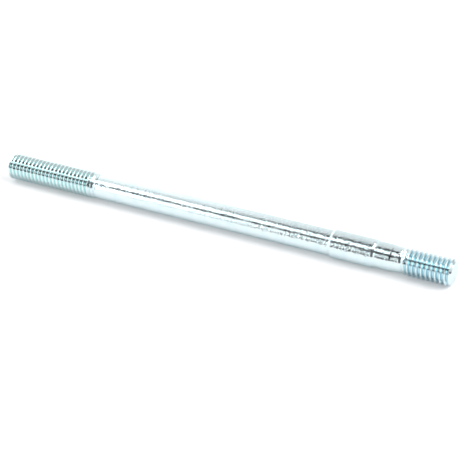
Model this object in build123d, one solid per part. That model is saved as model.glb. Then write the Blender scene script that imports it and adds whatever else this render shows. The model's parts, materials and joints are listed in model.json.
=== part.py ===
from build123d import *
import os

# A double-ended stud bolt, in millimetres, lying along X with +Z up.
# Its long thread points to -X and its short thread to +X.
# The origin is under the middle of its length, on the surface it lies on.

overall_length = 107.5

# Coarse M6 thread, the same size at both ends, left here at its crest diameter
thread_diameter = 5.9
thread_depth = 0.61  # crest to root, so the end faces are as wide as the root
point_length = 0.6  # 45 degree cone at each end face, where a nut starts

# Long threaded end
long_thread_length = 21.4  # end face to the last full crest
long_runout_length = 2.0  # the crests sink into the shank here
long_runout_blend = 1.0

# Plain shank, thinner than the thread
shank_diameter = 5.55

# Collar, the widest stretch, which centres the stud in its hole
collar_diameter = 6.1
collar_length = 9.15
collar_ramp_length = 0.45  # cone up from the shank
collar_edge_blend = 0.2

# Shallow groove where the collar's finishing cut ends
groove_diameter = 5.68
groove_entry_length = 0.45  # cone down from the collar
groove_exit_length = 0.3  # cone up to the land
groove_blend = 0.2

# Land between the groove and the neck
land_diameter = 5.76
land_length = 3.1

# Neck turned behind the short thread
neck_diameter = 5.48
neck_length = 1.75
neck_ramp_length = 0.6  # slope from the land to the neck
neck_blend = 2.2

# Short threaded end
short_thread_length = 9.3  # end face to the last full crest
short_runout_length = 1.8  # the crests rise out of the neck here
short_runout_blend = 0.4

# Radii, and heights over the surface
thread_radius = thread_diameter / 2
point_radius = thread_radius - thread_depth
shank_radius = shank_diameter / 2
collar_radius = collar_diameter / 2
groove_radius = groove_diameter / 2
land_radius = land_diameter / 2
neck_radius = neck_diameter / 2
axis_height = max(thread_radius, shank_radius, collar_radius, land_radius)

# Places along the stud, worked out from each end towards the shank
long_face = -overall_length / 2
long_point = long_face + point_length
long_crest_end = long_face + long_thread_length
shank_start = long_crest_end + long_runout_length

short_face = overall_length / 2
short_point = short_face - point_length
short_crest_start = short_face - short_thread_length
neck_end = short_crest_start - short_runout_length
neck_start = neck_end - neck_length
land_end = neck_start - neck_ramp_length
land_start = land_end - land_length
groove_place = land_start - groove_exit_length
collar_end = groove_place - groove_entry_length
collar_start = collar_end - collar_length
shank_end = collar_start - collar_ramp_length

# Half outline from one end face to the other: place, radius and blend of each corner
outline = [
    (long_face, point_radius, 0),
    (long_point, thread_radius, 0),
    (long_crest_end, thread_radius, long_runout_blend),
    (shank_start, shank_radius, long_runout_blend),
    (shank_end, shank_radius, 0),
    (collar_start, collar_radius, collar_edge_blend),
    (collar_end, collar_radius, collar_edge_blend),
    (groove_place, groove_radius, groove_blend),
    (land_start, land_radius, 0),
    (land_end, land_radius, neck_blend),
    (neck_start, neck_radius, neck_blend),
    (neck_end, neck_radius, short_runout_blend),
    (short_crest_start, thread_radius, 0),
    (short_point, thread_radius, 0),
    (short_face, point_radius, 0),
]


def make_stud():
    """The whole stud, turned from one outline about its own axis."""
    corners = [(place, radius) for place, radius, blend in outline]
    blends = [blend for place, radius, blend in outline]
    with BuildPart() as stud:
        with BuildSketch(Plane.XZ):
            with BuildLine():
                FilletPolyline((long_face, 0), *corners, (short_face, 0), radius=blends)
                Line((short_face, 0), (long_face, 0))
            make_face()
        revolve(axis=Axis.X)
    return Pos(0, 0, axis_height) * stud.part


os.makedirs("parts", exist_ok=True)
export_step(make_stud(), "parts/stud_bolt.step")
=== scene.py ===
import bisect
import json
import math

import bmesh
import bpy
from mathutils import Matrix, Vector


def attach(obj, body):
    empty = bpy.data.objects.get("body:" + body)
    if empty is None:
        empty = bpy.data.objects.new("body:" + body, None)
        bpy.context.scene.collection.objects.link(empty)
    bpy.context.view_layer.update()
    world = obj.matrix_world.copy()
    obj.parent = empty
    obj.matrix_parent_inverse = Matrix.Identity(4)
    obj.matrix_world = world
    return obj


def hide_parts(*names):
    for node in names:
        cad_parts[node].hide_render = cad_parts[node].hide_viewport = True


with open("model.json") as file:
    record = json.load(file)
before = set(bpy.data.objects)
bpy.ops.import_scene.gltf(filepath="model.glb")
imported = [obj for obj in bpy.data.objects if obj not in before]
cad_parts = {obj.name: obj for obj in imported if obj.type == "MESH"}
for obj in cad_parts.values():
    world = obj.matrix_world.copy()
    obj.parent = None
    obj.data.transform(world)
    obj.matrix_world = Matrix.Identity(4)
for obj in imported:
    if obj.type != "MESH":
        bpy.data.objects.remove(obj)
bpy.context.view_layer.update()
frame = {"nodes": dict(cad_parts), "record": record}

# Metres throughout. The stud lies along X with its short thread towards +X, on a floor at Z = 0.


class Wire:  # one node socket: + - * and / on it add Math nodes
    def __init__(self, tree, socket=None):
        self.tree = tree
        self.socket = socket

    def node(self, kind, settings, values, output=0):
        made = self.tree.nodes.new(kind)
        for name, value in settings.items():
            if name == "stops":
                setStops(made.color_ramp, value)
            else:
                setattr(made, name, value)
        for name, value in values.items():
            if isinstance(value, Wire):
                self.tree.links.new(value.socket, made.inputs[name])
            else:
                made.inputs[name].default_value = value
        return Wire(self.tree, made.outputs[output] if len(made.outputs) else None)

    def math(self, operation, *others, first=None):
        operands = [self if first is None else first, *others]
        return self.node("ShaderNodeMath", {"operation": operation}, dict(enumerate(operands)))

    def __add__(self, other):
        return self.math("ADD", other)

    def __radd__(self, other):
        return self.math("ADD", other)

    def __sub__(self, other):
        return self.math("SUBTRACT", other)

    def __rsub__(self, other):
        return self.math("SUBTRACT", self, first=other)

    def __mul__(self, other):
        return self.math("MULTIPLY", other)

    def __rmul__(self, other):
        return self.math("MULTIPLY", other)

    def __truediv__(self, other):
        return self.math("DIVIDE", other)


def setStops(ramp, stops):
    # the first two stops are there already
    while len(ramp.elements) < len(stops):
        ramp.elements.new(1.0)
    for element, (place, colour) in zip(ramp.elements, stops):
        element.position = place
        element.color = colour


def grey(level):
    return (level, level, level, 1.0)


def axes(vector):
    return [vector.node("ShaderNodeSeparateXYZ", {}, {"Vector": vector}, output=axis) for axis in "XYZ"]


def smooth(value, low, high):
    # 0 below low, 1 above high, with a soft turn at each end
    return value.node(
        "ShaderNodeMapRange",
        {"interpolation_type": "SMOOTHSTEP"},
        {"Value": value, "From Min": low, "From Max": high},
    )


def blend(mask, first, second):
    # the first colour where the mask is 0, the second where it is 1, by the Mix node's colour sockets
    return mask.node("ShaderNodeMix", {"data_type": "RGBA"}, {0: mask, 6: first, 7: second}, output=2)


def rampOf(value, stops):
    return value.node("ShaderNodeValToRGB", {"stops": stops}, {0: value})


def newMaterial(name):
    material = bpy.data.materials.new(name)
    material.use_nodes = True
    material.node_tree.nodes.clear()
    return material, Wire(material.node_tree)


def closeMaterial(tree, shader):
    tree.node("ShaderNodeOutputMaterial", {}, {"Surface": shader})


# Camera, at the photo's viewing angle

camera = {
    "aim": (0.00507, -0.00468, 0.00305),
    "turn": 27.43,  # degrees round Z from -Y towards +X
    "rise": 28.5,  # degrees over the floor
    "distance": 0.312,
    "lens": 114.73,
    "sensor": 36.0,
    "clipStart": 0.01,
}


def makeCamera():
    turn = math.radians(camera["turn"])
    rise = math.radians(camera["rise"])
    back = Vector((math.sin(turn) * math.cos(rise), -math.cos(turn) * math.cos(rise), math.sin(rise)))
    data = bpy.data.cameras.new("camera")
    data.lens = camera["lens"]
    data.sensor_width = camera["sensor"]
    data.clip_start = camera["clipStart"]
    made = bpy.data.objects.new("camera", data)
    made.location = Vector(camera["aim"]) + back * camera["distance"]
    made.rotation_euler = back.to_track_quat("Z", "Y").to_euler()
    bpy.context.scene.collection.objects.link(made)
    bpy.context.scene.camera = made


makeCamera()
print("camera set")


# The stud: the CAD outline spun round its axis, with both helical threads cut into it

stud = {
    "node": "stud_bolt",
    "turnSteps": 96,  # sides of every ring
    "pitch": 0.001,
    "flank": 60,  # degrees between a flank and the axis
    "crestHalf": 1 / 16,  # half the crest's flat, in pitches, as in the metric form
    "crestRadius": 0.025,  # in pitches too
    "rootRadius": 0.11,
    "rootSteps": 3,
    "longRunout": 0.0026,  # past the last full crest, towards the shank
    "shortRunout": 0.0024,
    "longStart": 0.29,  # where a crest passes the top, in pitches
    "shortStart": 0.15,
    "faceRings": (0, 0.25, 0.5, 0.75, 0.9),  # shares of the end face's radius
    "faceEdge": 0.00005,  # edge break round the end faces
    "faceBulge": 0.3,  # share of the edge break left on each side of its middle
    "cornerTurn": 12,  # degrees, where a turned corner gets a bevel
    "cornerBevel": 0.00006,
    "bevelSegments": 3,
    "ringStep": 0.0009,
    "support": 0.00012,  # how close the next ring stands to a corner
    "merge": 0.000002,
}
mounts = {mount["name"]: mount for mount in frame["record"]["mounts"]}
axisHeight = mounts["collar"]["pos_m"][2]
axisPoint = Vector((0, 0, axisHeight))


def readOutline(node):
    # (place along X, distance from the axis) of each ring of the CAD piece, from end face to end face
    reaches = {}
    for vertex in frame["nodes"][node].data.vertices:
        place = round(vertex.co.x, 6)
        reach = math.hypot(vertex.co.y, vertex.co.z - axisHeight)
        reaches[place] = max(reach, reaches.get(place, 0))
    return sorted(reaches.items())


outline = readOutline(stud["node"])
farFace, faceReach = outline[0]
nearFace = outline[-1][0]
crestReach = mounts["long_thread"]["dims"]["r_mm"] / 1000
threadDepth = crestReach - faceReach


def reachAt(place):
    # the outline's distance from the axis at one place
    after = bisect.bisect_left(outline, (place, 0.0))
    if after in (0, len(outline)):
        return outline[min(after, len(outline) - 1)][1]
    (here, reach), (there, farReach) = outline[after - 1], outline[after]
    return reach + (farReach - reach) * (place - here) / (there - here)


def threadSpan(name):
    middle = mounts[name]["pos_m"][0]
    half = mounts[name]["dims"]["length_mm"] / 2000
    return middle - half, middle + half


def threadForm():
    # one pitch as (along, inwards), from crest middle to crest middle:
    # a rounded crest, a straight flank and a round root, then the same back
    pitch, flank = stud["pitch"], stud["flank"]
    crest, root, steps = stud["crestRadius"], stud["rootRadius"], stud["rootSteps"]
    crestEdge = stud["crestHalf"] - crest * math.tan(math.radians(flank / 2))
    rootCentre = threadDepth / pitch - root
    half = [(0.0, 0.0)]
    for angle in (0, flank / 2, flank):
        turn = math.radians(angle)
        half.append((crestEdge + crest * math.sin(turn), crest * (1 - math.cos(turn))))
    arc = []
    for step in range(steps + 1):
        turn = math.radians(90 - flank * (1 - step / steps))
        arc.append((0.5 - root * math.cos(turn), rootCentre + root * math.sin(turn)))
    top, bottom = half[-1], arc[0]
    for share in (1 / 3, 2 / 3):
        half.append((top[0] + (bottom[0] - top[0]) * share, top[1] + (bottom[1] - top[1]) * share))
    half += arc
    whole = half + [(1 - along, inwards) for along, inwards in half[-2:0:-1]]
    return [(along * pitch, inwards * pitch) for along, inwards in whole]


def spun(points, perTurn=0.0):
    # a line of (place, reach) points turned once round the stud's axis, moving perTurn along X on the
    # way, which winds a right-hand thread
    bm = bmesh.new()
    verts = [bm.verts.new((place, 0, axisHeight + reach)) for place, reach in points]
    edges = [bm.edges.new(pair) for pair in zip(verts, verts[1:])]
    steps = stud["turnSteps"]
    bmesh.ops.spin(
        bm,
        geom=verts + edges,
        cent=axisPoint,
        axis=(1, 0, 0),
        dvec=(perTurn / steps, 0, 0),
        angle=2 * math.pi,
        steps=steps,
        use_merge=False,
    )
    bmesh.ops.remove_doubles(bm, verts=bm.verts[:], dist=stud["merge"])
    return bm


def makeThread(low, high, openEnd, fade, start):
    # low and high bound the threaded stretch; it fades over the last stretch before openEnd
    pitch = stud["pitch"]
    form = threadForm()
    points = []
    for turn in range(-2, math.ceil((high - low) / pitch)):
        crestMiddle = low + (turn + start) * pitch
        points += [(crestMiddle + along, crestReach - inwards) for along, inwards in form]
    bm = spun(points, perTurn=pitch)
    face = low if openEnd == high else high
    for vert in bm.verts:
        place = min(max(vert.co.x, low), high)
        across = Vector((0, vert.co.y, vert.co.z - axisHeight))
        inwards = crestReach - across.length
        limit = reachAt(place)
        share = min(abs(openEnd - place) / fade, 1.0)
        rim = limit if share < 1 else crestReach
        reach = limit if place == face else min(limit, rim - inwards * share)
        vert.co = axisPoint + across.normalized() * reach + Vector((place, 0, 0))
    bmesh.ops.remove_doubles(bm, verts=bm.verts[:], dist=stud["merge"])
    return bm


def filled(points):
    # adds rings beside each corner and along each long stretch, so that the shading stays even
    result = [points[0]]
    for (here, reach), (there, farReach) in zip(points, points[1:]):
        length = math.hypot(there - here, farReach - reach)
        support = stud["support"] / length
        if support < 1 / 3:
            inner = max(1, math.ceil(length / stud["ringStep"]))
            shares = [support + (1 - 2 * support) * step / inner for step in range(inner + 1)]
            result += [(here + (there - here) * s, reach + (farReach - reach) * s) for s in shares]
        result.append((there, farReach))
    return result


def makePlain(low, high):
    # the shank, collar, groove, land and neck, with their turned corners rounded
    points = [(low, reachAt(low))]
    points += [point for point in outline if low < point[0] < high]
    points.append((high, reachAt(high)))
    bm = spun(filled(points))
    corners = []
    for edge in bm.edges:
        here, there = edge.verts
        ring = abs(here.co.x - there.co.x) < stud["merge"]
        if ring and edge.is_manifold and edge.calc_face_angle(0) > math.radians(stud["cornerTurn"]):
            corners.append(edge)
    bmesh.ops.bevel(
        bm,
        geom=corners,
        offset=stud["cornerBevel"],
        offset_type="OFFSET",
        segments=stud["bevelSegments"],
        profile=0.5,
        affect="EDGES",
        clamp_overlap=True,
        material=-1,
    )
    return bm


def makeFace(face, inwards):
    # an end face, with a small round to the point's cone; inwards is the way into the stud along X
    edge = stud["faceEdge"]
    bulge = edge * stud["faceBulge"]
    points = [(face, faceReach * share) for share in stud["faceRings"]]
    points.append((face, faceReach - edge))
    points.append((face + inwards * bulge, faceReach + bulge))
    points.append((face + inwards * edge, reachAt(face + inwards * edge)))
    return spun(points)


def joinInto(whole, part):
    mesh = bpy.data.meshes.new("part")
    part.to_mesh(mesh)
    part.free()
    whole.from_mesh(mesh)
    bpy.data.meshes.remove(mesh)


def makeStud():
    edge = stud["faceEdge"]
    shankStart = threadSpan("long_thread")[1] + stud["longRunout"]
    neckEnd = threadSpan("short_thread")[0] - stud["shortRunout"]
    parts = [
        makeThread(farFace + edge, shankStart, shankStart, stud["longRunout"], stud["longStart"]),
        makeThread(neckEnd, nearFace - edge, neckEnd, stud["shortRunout"], stud["shortStart"]),
        makePlain(shankStart, neckEnd),
        makeFace(farFace, 1),
        makeFace(nearFace, -1),
    ]
    bm = bmesh.new()
    for part in parts:
        joinInto(bm, part)
    bmesh.ops.remove_doubles(bm, verts=bm.verts[:], dist=stud["merge"])
    bmesh.ops.recalc_face_normals(bm, faces=bm.faces[:])
    for face in bm.faces:
        face.smooth = True
    loose = sum(not e.is_manifold for e in bm.edges)
    print("stud mesh:", len(bm.verts), "vertices,", len(bm.faces), "faces,", loose, "open edges")
    mesh = bpy.data.meshes.new("zinc_stud")
    bm.to_mesh(mesh)
    bm.free()
    made = bpy.data.objects.new("zinc_stud", mesh)
    bpy.context.scene.collection.objects.link(made)
    return made


# Bright zinc plate under a thin blue film, with painted shade in the thread grooves

plate = {
    "film": (0.80, 0.925, 0.95, 1.0),
    "cloud": (0.70, 0.87, 0.91, 1.0),  # where the film is thicker
    "cloudScale": 350.0,
    "cloudDetail": 3.0,
    "cloudBreakup": 0.6,
    "cloudEdges": (0.45, 0.7),  # noise levels where a cloud begins and is full
    "cloudAmount": 0.6,
    # painted shade: the grooves' flanks and roots take darker colours than the film, and the short
    # thread's flanks are darker still
    "longFlank": (0.64, 0.86, 0.86, 1.0),  # inside the long thread
    "shortFlank": (0.51, 0.72, 0.80, 1.0),
    "flankEdges": (0.1, 0.5),  # depths in the thread, 1 at its root, where the colour sets in
    "flankChange": (-0.02, 0.02),  # along X, from the long thread's colour to the short one's
    "root": (0.68, 0.84, 0.88, 1.0),
    "rootEdges": (0.75, 1.0),
    "threadFade": 0.001,  # how far these colours reach past the thread
    "faceSkin": (0.00001, 0.00004),  # the end faces keep the plain film down to here
    "roughness": 0.08,
    "cloudRoughness": 0.06,
    "grainScale": 3000.0,
    "grainDetail": 1.0,
    "grainBreakup": 0.5,
    "grainStretch": (0.8, 1.0, 1.0),
    "grainHeight": 0.00005,
    "threadPolish": 0.75,  # how much of the grain the thread rolling takes away
}


def zincPlate():
    material, tree = newMaterial("zinc plate")
    place = tree.node("ShaderNodeTexCoord", {}, {}, output="Object")
    centred = tree.node("ShaderNodeMapping", {}, {"Vector": place, "Location": (0, 0, -axisHeight)})
    along, side, up = axes(centred)
    reach = (side * side + up * up).math("SQRT")

    # how deep a place lies in a thread, 1 at its root; it places the painted shade in the grooves
    # the points' cones and the end faces count as the surface
    fade = plate["threadFade"]
    nearLow, farHigh = threadSpan("short_thread")[0], threadSpan("long_thread")[1]
    threaded = smooth(along, nearLow - fade, nearLow) + smooth(along * -1.0, -farHigh - fade, -farHigh)
    cone = (nearFace + faceReach - along.math("ABSOLUTE")).math("MINIMUM", crestReach)
    faces = smooth(nearFace - along.math("ABSOLUTE"), *plate["faceSkin"])
    deep = (cone - reach) / threadDepth * threaded * faces

    clouds = tree.node(
        "ShaderNodeTexNoise",
        {},
        {
            "Vector": centred,
            "Scale": plate["cloudScale"],
            "Detail": plate["cloudDetail"],
            "Roughness": plate["cloudBreakup"],
        },
    )
    cloudy = smooth(clouds, *plate["cloudEdges"]) * plate["cloudAmount"]
    # painted shade in the thread grooves: darker flank colours, darkest on the short thread, and a
    # darker root colour
    flank = blend(smooth(along, *plate["flankChange"]), plate["longFlank"], plate["shortFlank"])
    colour = blend(cloudy, plate["film"], plate["cloud"])
    colour = blend(smooth(deep, *plate["flankEdges"]), colour, flank)
    colour = blend(smooth(deep, *plate["rootEdges"]), colour, plate["root"])

    stretched = tree.node("ShaderNodeMapping", {}, {"Vector": centred, "Scale": plate["grainStretch"]})
    grain = tree.node(
        "ShaderNodeTexNoise",
        {},
        {
            "Vector": stretched,
            "Scale": plate["grainScale"],
            "Detail": plate["grainDetail"],
            "Roughness": plate["grainBreakup"],
        },
    )
    height = (grain - 0.5) * (1.0 - threaded * plate["threadPolish"])
    normal = tree.node(
        "ShaderNodeBump", {}, {"Height": height, "Distance": plate["grainHeight"], "Strength": 1.0}
    )
    roughness = clouds * plate["cloudRoughness"] + plate["roughness"]
    shader = tree.node(
        "ShaderNodeBsdfPrincipled",
        {},
        {"Base Color": colour, "Metallic": 1.0, "Roughness": roughness, "Normal": normal},
    )
    closeMaterial(tree, shader)
    return material


piece = makeStud()
piece.data.materials.append(zincPlate())
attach(piece, "root")
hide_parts(stud["node"])
print("stud made")


# Floor: white, and it keeps the stud's shadow

floor = {
    "half": 0.6,
    "colour": (0.90, 0.895, 0.905, 1.0),
    "roughness": 0.9,
    "glow": 0.25,  # added where the camera sees it
    "mirroredGlow": 0.3,  # share of the glow that metal sees
}


def makeFloor():
    bm = bmesh.new()
    bmesh.ops.create_grid(bm, x_segments=1, y_segments=1, size=floor["half"])
    mesh = bpy.data.meshes.new("floor")
    bm.to_mesh(mesh)
    bm.free()
    made = bpy.data.objects.new("floor", mesh)
    bpy.context.scene.collection.objects.link(made)
    material, tree = newMaterial("white floor")
    direct = tree.node("ShaderNodeLightPath", {}, {}, output="Is Camera Ray")
    glossy = tree.node("ShaderNodeLightPath", {}, {}, output="Is Glossy Ray")
    through = tree.node("ShaderNodeLightPath", {}, {}, output="Is Transmission Ray")
    seen = (glossy * floor["mirroredGlow"] + direct + through).math("MINIMUM", 1.0)
    shader = tree.node(
        "ShaderNodeBsdfPrincipled",
        {},
        {
            "Base Color": floor["colour"],
            "Roughness": floor["roughness"],
            "Specular IOR Level": 0.0,
            "Emission Color": grey(1.0),
            "Emission Strength": seen * floor["glow"],
        },
    )
    closeMaterial(tree, shader)
    made.data.materials.append(material)


makeFloor()
print("floor laid")


# Studio: what the stud reflects, by how high it stands over the floor in the plane across the stud.
# 0 is the horizon at the camera's side, 1 the horizon behind the stud.

studio = {
    "far": [  # towards -X
        (0.00, grey(1.0)),
        (0.04, grey(2.1)),
        (0.192, grey(2.1)),
        (0.208, grey(0.0)),
        (0.284, grey(0.0)),
        (0.300, grey(2.1)),
        (0.445, grey(2.1)),
        (0.47, grey(1.1)),
        (0.52, grey(0.9)),
        (0.60, grey(1.05)),
        (0.68, grey(1.2)),
        (0.80, grey(1.3)),
        (1.00, grey(1.3)),
    ],
    "near": [  # in front
        (0.00, grey(0.05)),
        (0.05, grey(0.0)),
        (0.07, grey(0.50)),
        (0.125, grey(0.90)),
        (0.18, grey(0.65)),
        (0.21, grey(0.0)),
        (0.255, grey(0.0)),
        (0.28, grey(0.35)),
        (0.31, grey(0.60)),
        (0.335, grey(1.9)),
        (0.40, grey(1.9)),
        (0.42, grey(0.0)),
        (0.49, grey(0.0)),
        (0.53, grey(0.30)),
        (0.60, grey(0.76)),
        (0.70, grey(0.78)),
        (0.85, grey(0.93)),
        (1.00, grey(1.0)),
    ],
    "side": [  # a little towards +X
        (0.00, grey(0.3)),
        (0.06, grey(0.03)),
        (0.40, grey(0.03)),
        (0.50, grey(0.12)),
        (0.65, grey(0.30)),
        (0.80, grey(1.0)),
        (1.00, grey(1.0)),
    ],
    "end": [  # well towards +X, by how far up, 0 at the horizon and 1 overhead
        (0.00, grey(0.05)),
        (0.08, grey(0.05)),
        (0.14, grey(0.60)),
        (0.45, grey(1.00)),
        (0.55, grey(4.9)),
        (1.00, grey(4.9)),
    ],
    "endFront": grey(0.15),  # the same, but at the camera's side
    "endBack": grey(0.6),  # and behind
    "leanFrom": -0.48,  # past here along X, the far look climbs
    "lean": 0.30,
    "farToNear": (-0.46, -0.37),  # how far along X each look gives way to the next
    "nearToSide": (-0.02, 0.10),
    "sideToEnd": (0.30, 0.42),
    "frontToEnd": (-0.30, -0.16),  # the same along Y
    "endToBack": (0.40, 0.60),
}


def makeStudio():
    world = bpy.data.worlds.new("studio")
    bpy.context.scene.world = world
    world.use_nodes = True
    world.node_tree.nodes.clear()
    tree = Wire(world.node_tree)
    along, across, up = axes(tree.node("ShaderNodeTexCoord", {}, {}, output="Generated"))
    rise = up.math("ARCTAN2", across * -1.0) / math.pi
    leaning = (along - studio["leanFrom"]).math("MINIMUM", 0.0) * studio["lean"] + rise
    end = rampOf(up, studio["end"])
    end = blend(smooth(across, *studio["frontToEnd"]), studio["endFront"], end)
    end = blend(smooth(across, *studio["endToBack"]), end, studio["endBack"])
    around = rampOf(leaning, studio["far"])
    around = blend(smooth(along, *studio["farToNear"]), around, rampOf(rise, studio["near"]))
    around = blend(smooth(along, *studio["nearToSide"]), around, rampOf(rise, studio["side"]))
    around = blend(smooth(along, *studio["sideToEnd"]), around, end)
    direct = tree.node("ShaderNodeLightPath", {}, {}, output="Is Camera Ray")
    colour = blend(direct, around, grey(1.0))
    shader = tree.node("ShaderNodeBackground", {}, {"Color": colour, "Strength": 1.0})
    tree.node("ShaderNodeOutputWorld", {}, {"Surface": shader})


makeStudio()
print("studio lit")

bpy.context.scene.view_settings.view_transform = "Standard"
